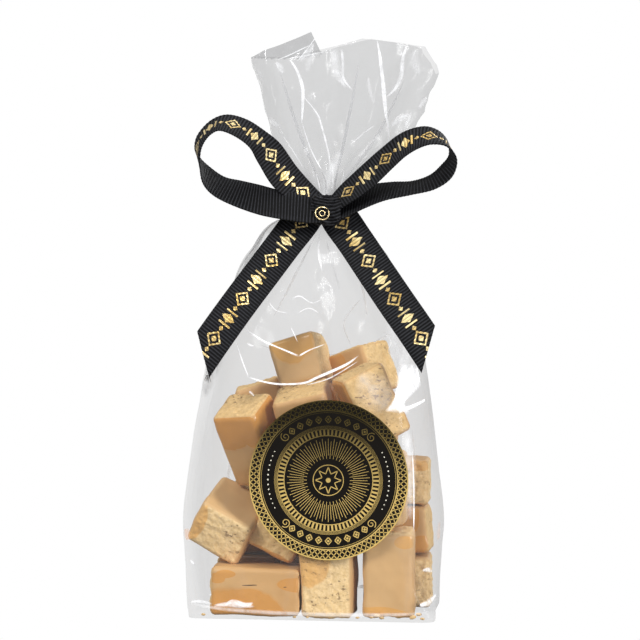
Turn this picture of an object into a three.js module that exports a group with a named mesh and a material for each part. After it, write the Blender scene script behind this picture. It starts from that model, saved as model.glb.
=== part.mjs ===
// A clear film bag of vanilla fudge: a block-bottom bag whose gathered neck is tied with a
// ribbon bow, whose mouth fans out above the bow, and whose front carries a round foil seal.
// Millimetres, +Z up, the front faces -Y. The origin is the middle of the flat base.
import * as THREE from 'three';
import { mergeVertices } from 'three/addons/utils/BufferGeometryUtils.js';

// ---- driving dimensions of the bag ----
const ringPoints = 72;        // points round each level of the bag
const pleatCount = 12;        // gathers round the neck
const baseStep = 7.5;         // level spacing up the filled body
const shoulderStart = 86;     // the film leaves the fudge and slopes to the neck
const shoulderStep = 3.2;
const neckBottom = 133;       // the tied stretch
const neckTop = 139.3;
const mouthHeight = 187;      // nominal height of the mouth's edge
const mouthSteps = 11;
const mouthFolds = 5;         // broad folds round the open mouth
const cornerLift = 2.4;       // the left edge of the base stands a little off the table
const liftFade = 8;
const neckX = 3.9;            // the tie sits a little right of the middle
const mouthX = 7.9;           // the open mouth leans further right
const gussetWidth = 0.36;     // half the side fold, as a share of the bag's half depth
const mouthDish = 15;         // how far the gathers sink inside the mouth
const dishShares = [0.86, 0.55];
const mouthCrowding = 1.25;   // levels stand closer just above the tie

// Level by level: height, left edge, right edge, half depth, squareness of the section,
// depth of the side fold, depth of the gathers.
const bagProfile = [
  [0, -34.0, 39.8, 23.4, 9, 0, 0],
  [1.5, -39.2, 40.9, 24.5, 9, 0, 0],
  [5, -39.8, 41.2, 24.8, 9, 0, 0],
  [19, -40.9, 42.2, 25.0, 8, 0, 0],
  [30, -41.8, 43.0, 25.0, 7.5, 0, 0],
  [48, -40.0, 41.2, 25.0, 7, 0, 0],
  [62, -37.9, 39.6, 24.9, 6.8, 0.3, 0],
  [74, -35.9, 38.2, 24.4, 6.4, 1.2, 0],
  [84, -34.6, 37.3, 23.2, 5.6, 2.8, 0.1],
  [96, -31.8, 37.2, 20.0, 4.4, 5.5, 0.4],
  [104, -29.4, 34.6, 16.8, 3.7, 6.5, 0.7],
  [112, -27.8, 29.8, 13.0, 3.0, 5.5, 1.0],
  [118, -24.6, 26.6, 10.4, 2.7, 4.0, 1.0],
  [123, -21.0, 23.0, 8.4, 2.4, 2.5, 0.8],
  [127.5, -17.4, 18.6, 6.9, 2.2, 1.2, 0.6],
  [131, -12.0, 14.0, 5.8, 2, 0.3, 0.45],
  [133, -1.7, 9.5, 5.2, 2, 0, 0.4],
  [139.3, -1.7, 9.5, 5.2, 2, 0, 0.4],
  [142.3, -4.4, 12.2, 5.6, 2, 0, 0.6],
  [148, -8.8, 17.4, 6.0, 2, 0, 1.0],
  [157.5, -13.6, 28.0, 6.8, 2, 0, 1.6],
  [165, -15.6, 34.6, 8.0, 2.1, 0, 2.2],
  [172, -17.4, 38.0, 9.2, 2.1, 0, 2.8],
  [179, -19.4, 40.6, 10.2, 2.1, 0, 3.2],
  [187, -21.6, 38.6, 11.0, 2.1, 0, 3.4],
];

// Height of the mouth's edge round the bag: degrees from the right-hand tip, the back first.
const mouthEdge = [
  [0, 179], [20, 186], [48, 188.8], [72, 192.4], [88, 190], [102, 188], [112, 195],
  [126, 193], [152, 189], [180, 185.4], [208, 184.6], [236, 186.0], [262, 187.6],
  [288, 189.8], [312, 189.0], [334, 186.0], [360, 179],
];

// ---- driving dimensions of the ribbon and the seal ----
const ribbonThickness = 0.6;
const loopSteps = 44;
const tailSteps = 16;
const wrapInner = 6.3;        // clears the gathered neck
const wrapThickness = 0.8;
const wrapBottom = 133.2;
const wrapHeight = 5.9;
const wrapEdge = 0.4;         // the band's edges are eased by this much
const wrapSides = 40;
const knotSize = { width: 10.6, depth: 5.0, height: 9.4 };
const knotPinch = 0.1;        // share by which its middle is narrower
const knotCentre = { x: 5.5, y: -12.5, z: 133.6 };
const sealRadius = 26.1;
const sealSides = 64;
const sealCentre = { x: 8.1, z: 46.2 };
const sealBack = -25.4;       // just clear of the film
// Half profile of the seal: share of its radius, thickness there.
const sealProfile = [[0, 0.45], [0.52, 0.45], [0.56, 0.6], [0.64, 0.6], [0.68, 0.5],
  [0.84, 0.5], [0.88, 0.6], [0.985, 0.6], [1, 0.4], [1, 0], [0, 0]];

// A station of a ribbon: its middle, then half its width as a vector towards the front edge.
const leftLoop = [
  [-0.9, -9.0, 138.6, -2.2, -2.6, -3.0],
  [-8.1, -9.6, 145.0, -3.2, -3.2, -3.6],
  [-13.4, -10.4, 152.9, -3.1, -3.9, -3.2],
  [-17.4, -11.0, 157.6, -1.7, -5.0, -2.9],
  [-22.8, -11.0, 161.3, -1.0, -5.1, -3.0],
  [-28.7, -10.8, 163.1, -0.3, -5.2, -2.8],
  [-33.1, -10.6, 161.5, 0.8, -5.3, -2.5],
  [-36.5, -10.4, 157.7, 1.8, -5.5, -1.7],
  [-37.6, -10.2, 153.8, 1.8, -5.5, -1.3],
  [-36.9, -10.2, 149.8, 1.2, -5.4, -2.3],
  [-34.7, -10.4, 145.8, 0, -5.2, -3.0],
  [-30.3, -10.8, 142.1, -1.0, -5.0, -3.1],
  [-24.1, -11.8, 139.8, -1.0, -4.4, -4.0],
  [-16.7, -13.2, 137.6, 0, -3.6, -4.8],
  [-10.0, -14.2, 136.0, 0.3, -3.4, -4.7],
  [-0.5, -14.6, 134.2, 0.1, -3.0, -4.3],
];
const rightLoop = [
  [12.1, -11.0, 139.4, 2.4, -4.6, -2.6],
  [19.0, -11.2, 145.0, 2.5, -4.3, -3.3],
  [25.8, -11.2, 151.2, 2.6, -4.5, -3.0],
  [31.2, -11.0, 155.6, 1.2, -4.4, -3.8],
  [36.9, -10.8, 158.0, 0, -4.8, -3.6],
  [41.5, -10.6, 158.0, -0.3, -5.4, -2.5],
  [45.5, -10.6, 155.9, 0.5, -5.8, -1.3],
  [47.4, -10.6, 151.4, 1.6, -5.7, -1.0],
  [45.3, -10.6, 146.8, 2.1, -5.3, -2.0],
  [40.6, -10.6, 143.2, 1.3, -5.4, -2.3],
  [33.7, -10.6, 141.3, 0.2, -5.5, -2.3],
  [26.2, -10.6, 140.3, -0.5, -5.1, -3.0],
  [19.0, -10.6, 138.5, -0.2, -4.6, -3.8],
  [11.6, -10.6, 135.4, 0, -3.6, -4.0],
];
const leftTail = [
  [-1.9, -8.4, 131.8, 4.8, -0.7, -3.6],
  [-8.5, -10.9, 122.9, 4.8, -1.2, -3.6],
  [-14.8, -14.8, 113.9, 4.8, -1.4, -3.6],
  [-21.1, -19.4, 104.8, 4.8, -1.5, -3.6],
  [-27.1, -23.8, 95.8, 4.8, -1.2, -3.6],
  [-33.0, -26.6, 86.9, 2.3, -0.9, -7.4],
];
const rightTail = [
  [9.3, -8.4, 131.8, -4.8, -0.7, -3.6],
  [15.2, -10.9, 123.9, -4.8, -1.2, -3.5],
  [22.5, -15.4, 113.8, -4.8, -1.4, -3.5],
  [30.0, -20.6, 103.6, -4.8, -1.5, -3.5],
  [36.6, -24.8, 94.8, -4.8, -1.2, -3.5],
  [40.5, -26.6, 88.6, -2.0, -0.9, -7.4],
];

// ---- materials ----
const film = new THREE.MeshStandardMaterial({ color: 0xd8b88c, roughness: 0.25, metalness: 0 });
const ribbon = new THREE.MeshStandardMaterial({ color: 0x1b1b1d, roughness: 0.7, metalness: 0 });
const foil = new THREE.MeshStandardMaterial({ color: 0xb8985a, roughness: 0.3, metalness: 0.8 });

// ---- shared helpers ----

// Smooth run through rows of numbers by Catmull-Rom; s goes from 0 to 1 over the rows.
function smoothRow(rows, s) {
  const place = Math.min(Math.max(s, 0), 1) * (rows.length - 1);
  const first = Math.min(Math.floor(place), rows.length - 2);
  const part = place - first;
  const row = (n) => rows[Math.min(Math.max(n, 0), rows.length - 1)];
  const [a, b, c, d] = [row(first - 1), row(first), row(first + 1), row(first + 2)];
  return b.map((value, k) => 0.5 * (2 * value + (c[k] - a[k]) * part
    + (2 * a[k] - 5 * value + 4 * c[k] - d[k]) * part ** 2
    + (3 * value - a[k] - 3 * c[k] + d[k]) * part ** 3));
}

// The row at a given first value, by a smooth curve that never overshoots its rows.
function rowAt(rows, key) {
  const next = Math.max(rows.findIndex((row) => row[0] >= key), 1);
  const span = rows[next][0] - rows[next - 1][0];
  const part = (key - rows[next - 1][0]) / span;
  const slope = (n, k) => {
    if (n < 1 || n > rows.length - 2) return 0;
    const before = (rows[n][k] - rows[n - 1][k]) / (rows[n][0] - rows[n - 1][0]);
    const after = (rows[n + 1][k] - rows[n][k]) / (rows[n + 1][0] - rows[n][0]);
    return before * after > 0 ? (2 * before * after) / (before + after) : 0;
  };
  return rows[next].map((value, k) => {
    const from = rows[next - 1][k];
    const ease = part * part * (3 - 2 * part);
    return from + (value - from) * ease
      + span * part * (1 - part) * (slope(next - 1, k) * (1 - part) - slope(next, k) * part);
  });
}

// A closed body from equal rings of points, with a fan over each end.
function skin(rings, lowCentre, highCentre) {
  const count = rings[0].length;
  const places = [...rings.flat(), lowCentre, highCentre].flatMap((p) => [p.x, p.y, p.z]);
  const faces = [];
  const low = rings.length * count;
  const top = low - count;
  for (let k = 0; k < count; k += 1) {
    const next = (k + 1) % count;
    for (let level = 0; level < rings.length - 1; level += 1) {
      const [here, above] = [level * count, (level + 1) * count];
      faces.push(here + k, here + next, above + next, here + k, above + next, above + k);
    }
    faces.push(low, next, k, low + 1, top + k, top + next);
  }
  const geometry = new THREE.BufferGeometry();
  geometry.setAttribute('position', new THREE.Float32BufferAttribute(places, 3));
  geometry.setIndex(faces);
  return geometry;
}

// A lathe shape with its seam joined and its poles closed.
function closedLathe(geometry) {
  geometry.deleteAttribute('normal');
  geometry.deleteAttribute('uv');
  const merged = mergeVertices(geometry, 1e-4);
  const index = merged.getIndex().array;
  const kept = [];
  for (let k = 0; k < index.length; k += 3) {
    const [a, b, c] = index.slice(k, k + 3);
    if (a !== b && b !== c && c !== a) kept.push(a, b, c);
  }
  merged.setIndex(kept);
  return merged;
}

function named(name, geometry, material) {
  geometry.computeVertexNormals();
  const mesh = new THREE.Mesh(geometry, material);
  mesh.name = name;
  return mesh;
}

// ---- the bag ----

// Gathers round the neck: sharp valleys between rounded ridges, unevenly spaced.
function gather(turn) {
  const uneven = turn + 0.12 * Math.sin(2 * turn + 0.7) + 0.05 * Math.sin(3 * turn);
  return 2 * Math.abs(Math.sin((pleatCount * uneven) / 2)) - 1;
}

// Broad flat folds of the open mouth, weaker at its two tips.
function mouthFold(turn) {
  const wave = Math.asin(Math.sin(mouthFolds * turn + 0.9 * Math.sin(turn) + 1));
  return (wave / (Math.PI / 2)) * (0.45 + 0.55 * Math.abs(Math.sin(turn)));
}

// One point of the bag's surface: a squared ellipse with a fold in each side, and gathers.
function bagPoint(turn, height) {
  const [, left, right, halfDepth, square, fold, pleat] = rowAt(bagProfile, height);
  const [cos, sin] = [Math.cos(turn), Math.sin(turn)];
  const reach = (Math.abs(cos) ** square + Math.abs(sin) ** square) ** (-1 / square);
  const side = fold * Math.exp(-((sin / gussetWidth) ** 2)) * Math.sign(cos);
  const opened = THREE.MathUtils.smoothstep(height, neckTop, (neckTop + mouthHeight) / 2);
  const wave = pleat * THREE.MathUtils.lerp(gather(turn), mouthFold(turn), opened);
  const edge = rowAt(mouthEdge, THREE.MathUtils.radToDeg(turn))[1];
  const stretch = (edge - neckTop) / (mouthHeight - neckTop);
  const lift = height > 0 ? cornerLift * Math.max(-cos, 0) ** 2 * Math.exp(-height / liftFade) : 0;
  return new THREE.Vector3(
    (left + right) / 2 + ((right - left) / 2) * cos * reach - side + wave * cos,
    halfDepth * sin * reach + wave * sin,
    height > neckTop ? neckTop + (height - neckTop) * stretch : height + lift,
  );
}

function bagLevels() {
  const levels = [0, 1.5, 4];
  for (let z = baseStep + 2.5; z < shoulderStart; z += baseStep) levels.push(z);
  for (let z = shoulderStart; z < neckBottom - 1; z += shoulderStep) levels.push(z);
  levels.push(neckBottom, (neckBottom + neckTop) / 2);
  for (let step = 0; step <= mouthSteps; step += 1) {
    levels.push(neckTop + (mouthHeight - neckTop) * (step / mouthSteps) ** mouthCrowding);
  }
  return levels;
}

function bagMesh() {
  const turns = Array.from({ length: ringPoints }, (_, k) => (2 * Math.PI * k) / ringPoints);
  const rings = bagLevels().map((z) => turns.map((turn) => bagPoint(turn, z)));
  const mouth = rings.at(-1);
  const middle = new THREE.Vector3(mouthX, 0, mouthHeight - mouthDish);
  for (const share of dishShares) {
    rings.push(mouth.map((p) => {
      const inner = p.clone().lerp(middle, 1 - share);
      inner.z = p.z - (p.z - middle.z) * (1 - share ** 2);
      return inner;
    }));
  }
  return named('bag', skin(rings, new THREE.Vector3(0, 0, 0), middle), film);
}

// ---- the ribbon ----

// A flat band through its stations, with square edges.
function band(stations, steps) {
  const rows = Array.from({ length: steps + 1 }, (_, k) => smoothRow(stations, k / steps));
  const middles = rows.map(([x, y, z]) => new THREE.Vector3(x, y, z));
  const rings = rows.map(([, , , wx, wy, wz], k) => {
    const half = new THREE.Vector3(wx, wy, wz);
    const along = middles[Math.min(k + 1, steps)].clone().sub(middles[Math.max(k - 1, 0)]);
    const out = along.cross(half).setLength(ribbonThickness / 2);
    return [[1, 1], [-1, 1], [-1, -1], [1, -1]].map(([edge, face]) => middles[k].clone()
      .addScaledVector(half, edge).addScaledVector(out, face));
  });
  return skin(rings, middles[0], middles[steps]);
}

function wrapMesh() {
  const outline = [[0, 0], [wrapThickness, wrapEdge], [wrapThickness, wrapHeight - wrapEdge],
    [0, wrapHeight], [0, 0]].map(([r, z]) => new THREE.Vector2(wrapInner + r, z));
  const ring = new THREE.LatheGeometry(outline, wrapSides);
  ring.rotateX(Math.PI / 2).translate(neckX, 0, wrapBottom);
  return named('ribbon_wrap', closedLathe(ring), ribbon);
}

// The knot: a soft block, a little pinched across its middle.
function knotMesh() {
  const ball = new THREE.SphereGeometry(1, 24, 14);
  ball.rotateX(Math.PI / 2);
  const place = ball.getAttribute('position');
  for (let k = 0; k < place.count; k += 1) {
    const [x, y, z] = [place.getX(k), place.getY(k), place.getZ(k)];
    const swell = (x ** 4 + y ** 4 + z ** 4) ** -0.25;
    const pinch = 1 - knotPinch * Math.cos((z * swell * Math.PI) / 2);
    place.setXYZ(k, x * swell * pinch * knotSize.width / 2, y * swell * knotSize.depth / 2,
      z * swell * knotSize.height / 2);
  }
  ball.translate(knotCentre.x, knotCentre.y, knotCentre.z);
  return named('ribbon_knot', closedLathe(ball), ribbon);
}

// ---- the seal ----
function sealMesh() {
  const outline = sealProfile.map(([r, t]) => new THREE.Vector2(r * sealRadius, t)).reverse();
  const disc = new THREE.LatheGeometry(outline, sealSides);
  disc.rotateX(Math.PI).translate(sealCentre.x, sealBack, sealCentre.z);
  return named('foil_seal', closedLathe(disc), foil);
}

const pack = new THREE.Group();
pack.add(
  bagMesh(),
  wrapMesh(),
  knotMesh(),
  named('ribbon_loop_left', band(leftLoop, loopSteps), ribbon),
  named('ribbon_loop_right', band(rightLoop, loopSteps), ribbon),
  named('ribbon_tail_left', band(leftTail, tailSteps), ribbon),
  named('ribbon_tail_right', band(rightTail, tailSteps), ribbon),
  sealMesh(),
);

export default pack;
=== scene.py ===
# A clear film bag of vanilla fudge, tied at the neck with a black ribbon bow and closed in
# front by a round foil seal. A piece's sizes are in millimetres until it is added.
import math

import bmesh
import bpy
from mathutils import Euler, Matrix, Vector, noise


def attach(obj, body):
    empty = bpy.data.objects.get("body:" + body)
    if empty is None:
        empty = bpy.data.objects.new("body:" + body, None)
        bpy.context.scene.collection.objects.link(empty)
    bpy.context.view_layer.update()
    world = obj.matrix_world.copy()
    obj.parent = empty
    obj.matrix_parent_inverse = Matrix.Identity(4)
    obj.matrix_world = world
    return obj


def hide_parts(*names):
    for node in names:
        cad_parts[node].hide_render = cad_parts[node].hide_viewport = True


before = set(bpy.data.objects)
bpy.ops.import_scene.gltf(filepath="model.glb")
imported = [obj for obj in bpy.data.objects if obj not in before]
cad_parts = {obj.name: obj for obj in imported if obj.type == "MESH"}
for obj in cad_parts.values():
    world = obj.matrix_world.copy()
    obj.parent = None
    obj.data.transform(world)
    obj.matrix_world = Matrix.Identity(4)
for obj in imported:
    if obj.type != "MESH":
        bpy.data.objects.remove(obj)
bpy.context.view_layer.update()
mm = 0.001
front = Vector((0, -1, 0))


def smoothstep(value, low, high):
    part = min(max((value - low) / (high - low), 0), 1)
    return part * part * (3 - 2 * part)


def smoothRow(rows, share):
    # A smooth curve through rows of numbers, at a share of the way along.
    place = min(max(share, 0), 1) * (len(rows) - 1)
    first = min(int(place), len(rows) - 2)
    part = place - first
    a, b, c, d = (rows[min(max(first + n, 0), len(rows) - 1)] for n in (-1, 0, 1, 2))
    return [
        0.5 * (2 * q + (r - p) * part + (2 * p - 5 * q + 4 * r - s) * part ** 2
               + (3 * q - p - 3 * r + s) * part ** 3)
        for p, q, r, s in zip(a, b, c, d)
    ]


def addObject(name, data):
    item = bpy.data.objects.new(name, data)
    bpy.context.scene.collection.objects.link(item)
    return item


def addMesh(name, bm, materials, smooth=False):
    mesh = bpy.data.meshes.new(name)
    bm.to_mesh(mesh)
    bm.free()
    for material in materials:
        mesh.materials.append(material)
    for polygon in mesh.polygons:
        polygon.use_smooth = smooth
    return addObject(name, mesh)


def addPiece(name, bm, materials, smooth=True, outwards=True):
    if outwards:
        bmesh.ops.recalc_face_normals(bm, faces=bm.faces)
    bmesh.ops.scale(bm, vec=Vector((mm, mm, mm)), verts=bm.verts)
    piece = addMesh(name, bm, materials, smooth)
    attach(piece, "root")
    return piece


def addWall(piece, thickness):
    wall = piece.modifiers.new("thickness", "SOLIDIFY")
    wall.thickness = thickness * mm
    wall.offset = 0
    return wall


def addSheet(bm, across, along):
    # The points of a grid, each with its place across from -1 to 1 and along from 0 to 1.
    verts = bmesh.ops.create_grid(bm, x_segments=across, y_segments=along, size=1)["verts"]
    return [(vert, vert.co.x, (vert.co.y + 1) / 2) for vert in verts]


def addBlock(bm, cuts):
    bmesh.ops.create_cube(bm, size=2)
    bmesh.ops.subdivide_edges(bm, edges=bm.edges[:], cuts=cuts, use_grid_fill=True)


def addLayers(bm, names):
    return {name: bm.verts.layers.float.new(name) for name in names}


def mark(vert, layers, **values):
    for name, value in values.items():
        vert[layers[name]] = value


def layOut(faces, lie, placeOf):
    # Writes each corner's place on the piece's own map.
    for face in faces:
        for loop in face.loops:
            loop[lie].uv = placeOf(loop.vert)


def spinFace(bm, face, steps):
    # Carries a face all the way round the Y axis and takes the first one out.
    bmesh.ops.spin(bm, geom=[face] + face.edges[:] + face.verts[:], cent=(0, 0, 0), axis=(0, 1, 0),
                   angle=2 * math.pi, steps=steps, use_merge=True)
    if face.is_valid:
        bmesh.ops.delete(bm, geom=[face], context="FACES_ONLY")


def newMaterial(name):
    material = bpy.data.materials.new(name)
    material.use_nodes = True
    nodes = material.node_tree.nodes
    return material, nodes, nodes["Principled BSDF"]


def plug(value, target):
    # A link from another node's output, or a plain value.
    if isinstance(value, bpy.types.NodeSocket):
        target.id_data.links.new(value, target)
    elif target.type == "RGBA":
        target.default_value = (*value, 1)
    else:
        target.default_value = value


def feed(node, **inputs):
    for key, value in inputs.items():
        plug(value, node.inputs[key.replace("_", " ")])


def addNode(nodes, kind, settings=None, **inputs):
    node = nodes.new("ShaderNode" + kind)
    for key, value in (settings or {}).items():
        setattr(node, key, value)
    feed(node, **inputs)
    return node


def attributes(nodes, *names):
    return [addNode(nodes, "Attribute", {"attribute_name": name}).outputs["Fac"] for name in names]


def objectPlace(nodes):
    return addNode(nodes, "TexCoord").outputs["Object"]


def lieParts(nodes):
    # How far along and across the piece's own map a place is.
    place = addNode(nodes, "UVMap", {"uv_map": "lie"}).outputs[0]
    return addNode(nodes, "SeparateXYZ", Vector=place).outputs


def mathNode(operation, *values, clamp=False):
    # It goes to the tree of the first of its values that is linked.
    linked = next(value for value in values if isinstance(value, bpy.types.NodeSocket))
    node = addNode(linked.id_data.nodes, "Math", {"operation": operation, "use_clamp": clamp})
    for value, target in zip(values, node.inputs):
        plug(value, target)
    return node.outputs[0]


def times(product, *others):
    for other in others:
        product = mathNode("MULTIPLY", product, other)
    return product


def ramp(value, low, high, start=0.0, end=1.0):
    node = addNode(value.id_data.nodes, "MapRange", {"interpolation_type": "SMOOTHSTEP"})
    for part, target in zip((value, low, high, start, end), node.inputs):
        plug(part, target)
    return node.outputs[0]


def mixColour(share, first, second):
    node = addNode(share.id_data.nodes, "Mix", {"data_type": "RGBA"})
    for value, place in ((share, 0), (first, 6), (second, 7)):
        plug(value, node.inputs[place])
    return node.outputs[2]


def noiseNode(nodes, scale, detail=3, roughness=0.5, stretch=(1, 1, 1), distortion=0.0):
    mapping = addNode(nodes, "Mapping", Scale=stretch, Vector=objectPlace(nodes))
    return addNode(nodes, "TexNoise", Scale=scale, Detail=detail, Roughness=roughness,
                   Distortion=distortion, Vector=mapping.outputs[0]).outputs["Fac"]


def bumpNode(height, strength, distance):
    node = addNode(height.id_data.nodes, "Bump", Strength=strength, Distance=distance, Height=height)
    return node.outputs[0]


def letThrough(nodes, shader, share):
    # The shader's share of the light, and clear for the rest.
    mix = addNode(nodes, "MixShader")
    clear = addNode(nodes, "BsdfTransparent")
    for value, target in zip((share, clear.outputs[0], shader.outputs[0]), mix.inputs):
        plug(value, target)
    plug(mix.outputs[0], nodes["Material Output"].inputs["Surface"])


# The bag's film: a tube that is gathered at the neck and open at the mouth.

film = {
    "turns": 300,            # points round the bag
    "bodyRows": 132,         # rows of points up to the neck, in the neck and above it
    "neckRows": 12,
    "mouthRows": 72,
    "neckBottom": 133,
    "neckTop": 139.3,
    "mouthHeight": 187,
    "pleats": 12,
    "mouthFolds": 5,
    "crumple": 0.22,         # how far the film stands in and out, and more above the fudge
    "looseCrumple": 0.75,
    "shoulder": (84, 100),   # the heights where it comes away from the fudge
    "gathering": (124, 132), # and where it is drawn together
    "gussetWidth": 0.36,
    "bodyVeil": 0.19,        # how much the film greys what is behind it, and more above the neck
    "frontLess": 0.07,       # the front wall lies on the fudge and greys it less than the back one
    "heapEnds": (90, 110),
    "veilRises": (124, 140),
    "mouthVeil": 0.07,
    "foldVeil": 0.36,        # where the back wall stands up behind the front one
    "foldHeight": 185.5,     # it rises a little to the right between its start and its end
    "foldStart": -6.8,
    "foldEnd": 1.5,
    "gatherHeight": 136,
    "gatherVeil": 0.15,
    "edgeVeil": 0.06,        # seen edge on
    "streakVeil": 0.07,
    "cornerLift": 2.4,       # the left edge of the base stands a little off the table
    "liftFade": 8,
    "frontNarrowing": 5.0,   # the front panel's right edge stands this much further in
}

neckTop, mouthHeight = film["neckTop"], film["mouthHeight"]

# Height, left edge, right edge, half depth, squareness, side fold, gathers.
bagProfile = [
    (0, -38.9, 41.0, 24.4, 20, 0, 0), (1.5, -39.3, 41.1, 24.6, 18, 0, 0),
    (5, -39.8, 41.2, 24.8, 14, 0, 0), (19, -40.9, 42.2, 25.0, 9, 0, 0),
    (30, -41.8, 43.0, 25.0, 7.5, 0, 0), (48, -40.0, 41.2, 25.0, 7, 0, 0),
    (62, -37.9, 39.6, 24.9, 6.8, 0.3, 0), (74, -35.9, 38.2, 24.4, 6.4, 1.2, 0),
    (84, -34.6, 37.3, 23.2, 5.6, 2.8, 0.1), (96, -31.8, 37.2, 20.0, 4.4, 5.5, 0.4),
    (104, -29.4, 34.6, 16.8, 3.7, 6.5, 0.7), (112, -27.8, 29.8, 13.0, 3.0, 5.5, 1.0),
    (118, -24.6, 26.6, 10.4, 2.7, 4.0, 1.0), (123, -21.0, 23.0, 8.4, 2.4, 2.5, 0.8),
    (127.5, -17.4, 18.6, 6.9, 2.2, 1.2, 0.6), (131, -12.0, 14.0, 5.8, 2, 0.3, 0.45),
    (133, -1.7, 9.5, 5.2, 2, 0, 0.4), (139.3, -1.7, 9.5, 5.2, 2, 0, 0.4),
    (142.3, -4.4, 12.2, 5.6, 2, 0, 0.6), (148, -8.8, 17.4, 6.0, 2, 0, 1.0),
    (157.5, -13.6, 28.0, 6.8, 2, 0, 1.6), (165, -15.6, 33.1, 8.0, 2.1, 0, 2.2),
    (172, -17.4, 35.5, 9.2, 2.1, 0, 2.6), (179, -19.4, 38.0, 10.2, 2.1, 0, 2.8),
    (187, -21.6, 41.2, 11.0, 2.1, 0, 2.8),
]
# The mouth's edge as x and height from the left corner to the right, on each wall.
mouthFront = [(-21.8, 185.4), (-6.8, 184.4), (0.8, 186.4), (17.6, 190.4), (37.7, 187.4), (41.4, 178.8)]
mouthBack = [(-21.8, 185.4), (-2.4, 194.5), (0.8, 187.6), (17.6, 192.2), (37.7, 188.8), (41.4, 178.8)]


def rowAt(rows, key):
    # A smooth curve through the rows that never overshoots them.
    after = next((n for n, row in enumerate(rows) if row[0] >= key), len(rows) - 1)
    after = max(after, 1)
    low, high = rows[after - 1], rows[after]
    span = high[0] - low[0]
    part = (key - low[0]) / span

    def slope(n, k):
        if n < 1 or n > len(rows) - 2:
            return 0
        below = (rows[n][k] - rows[n - 1][k]) / (rows[n][0] - rows[n - 1][0])
        above = (rows[n + 1][k] - rows[n][k]) / (rows[n + 1][0] - rows[n][0])
        return 2 * below * above / (below + above) if below * above > 0 else 0

    ease = part * part * (3 - 2 * part)
    return [
        low[k] + (high[k] - low[k]) * ease
        + span * part * (1 - part) * (slope(after - 1, k) * (1 - part) - slope(after, k) * part)
        for k in range(len(low))
    ]


profileCache = {}


def profileAt(height):
    key = round(height, 3)
    if key not in profileCache:
        profileCache[key] = rowAt(bagProfile, key)
    return profileCache[key]


def edgeAt(turn):
    left, right = bagProfile[-1][1:3]
    x = (left + right) / 2 + (right - left) / 2 * math.cos(turn)
    rows = mouthBack if math.sin(turn) > 0 else mouthFront
    for low, high in zip(rows, rows[1:]):
        if x <= high[0]:
            break
    return low[1] + (high[1] - low[1]) * min(max((x - low[0]) / (high[0] - low[0]), 0), 1)


def gather(turn):
    uneven = turn + 0.12 * math.sin(2 * turn + 0.7) + 0.05 * math.sin(3 * turn)
    return 2 * abs(math.sin(film["pleats"] * uneven / 2)) - 1


def mouthFold(turn):
    wave = math.asin(math.sin(film["mouthFolds"] * turn + 0.9 * math.sin(turn) + 1))
    return wave / (math.pi / 2) * (0.45 + 0.55 * abs(math.sin(turn)))


def bagPoint(turn, height):
    _, left, right, halfDepth, square, fold, pleat = profileAt(height)
    cos, sin = math.cos(turn), math.sin(turn)
    reach = (abs(cos) ** square + abs(sin) ** square) ** (-1 / square)
    side = fold * math.exp(-(sin / film["gussetWidth"]) ** 2) * math.copysign(1, cos)
    opened = smoothstep(height, neckTop, (neckTop + mouthHeight) / 2)
    wave = pleat * (gather(turn) * (1 - opened) + mouthFold(turn) * opened)
    stretch = (edgeAt(turn) - neckTop) / (mouthHeight - neckTop)
    lift = 0
    if height > 0:
        lift = film["cornerLift"] * max(-cos, 0) ** 2 * math.exp(-height / film["liftFade"])
    narrow = film["frontNarrowing"] * smoothstep(-sin * reach, -0.2, 1) * max(cos, 0)
    narrow *= 1 - smoothstep(height, 70, 100)
    narrow *= 1.4 * smoothstep(height, 0, 12) - 0.4     # the foot flares out again
    return Vector((
        (left + right) / 2 + (right - left) / 2 * cos * reach - side + wave * cos - narrow,
        halfDepth * sin * reach + wave * sin,
        neckTop + (height - neckTop) * stretch if height > neckTop else height + lift,
    ))


def filmPoint(turn, height):
    # The same with its crumples.
    point = bagPoint(turn, height)
    shoulder = smoothstep(height, *film["shoulder"])
    above = smoothstep(height, neckTop, neckTop + 10)
    neck = smoothstep(height, *film["gathering"]) * (1 - above)
    amount = (film["crumple"] + film["looseCrumple"] * shoulder) * (1 - neck) * smoothstep(height, 0, 3)
    ridge = abs(noise.noise(Vector((point.x / 11, point.y / 11, point.z / 17)))) * 2
    small = abs(noise.noise(Vector((point.x / 5, point.y / 5 + 9, point.z / 7)))) * 2
    push = amount * (0.5 - ridge + 0.35 * (0.4 - small))
    return point + outwardAt(turn) * push


def outwardAt(turn):
    return Vector((math.cos(turn), math.sin(turn) * 1.4, 0)).normalized()


def onFilm(x, z, back=False, lift=0.25):
    # The place on the front or back of the film straight behind a place in the front view.
    low, high = (0.02, math.pi - 0.02) if back else (math.pi + 0.02, 2 * math.pi - 0.02)
    for _ in range(26):
        middle = (low + high) / 2
        height = z
        if z > neckTop:
            stretch = (edgeAt(middle) - neckTop) / (mouthHeight - neckTop)
            height = min(neckTop + (z - neckTop) / stretch, mouthHeight)
        point = filmPoint(middle, height)
        if (point.x < x) != back:
            low = middle
        else:
            high = middle
    return point + outwardAt(middle) * lift


def filmHeight(share):
    row = share * (film["bodyRows"] + film["neckRows"] + film["mouthRows"])
    if row <= film["bodyRows"]:
        return film["neckBottom"] * row / film["bodyRows"]
    row -= film["bodyRows"]
    if row <= film["neckRows"]:
        return film["neckBottom"] + (neckTop - film["neckBottom"]) * row / film["neckRows"]
    row -= film["neckRows"]
    return neckTop + (mouthHeight - neckTop) * row / film["mouthRows"]


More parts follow.
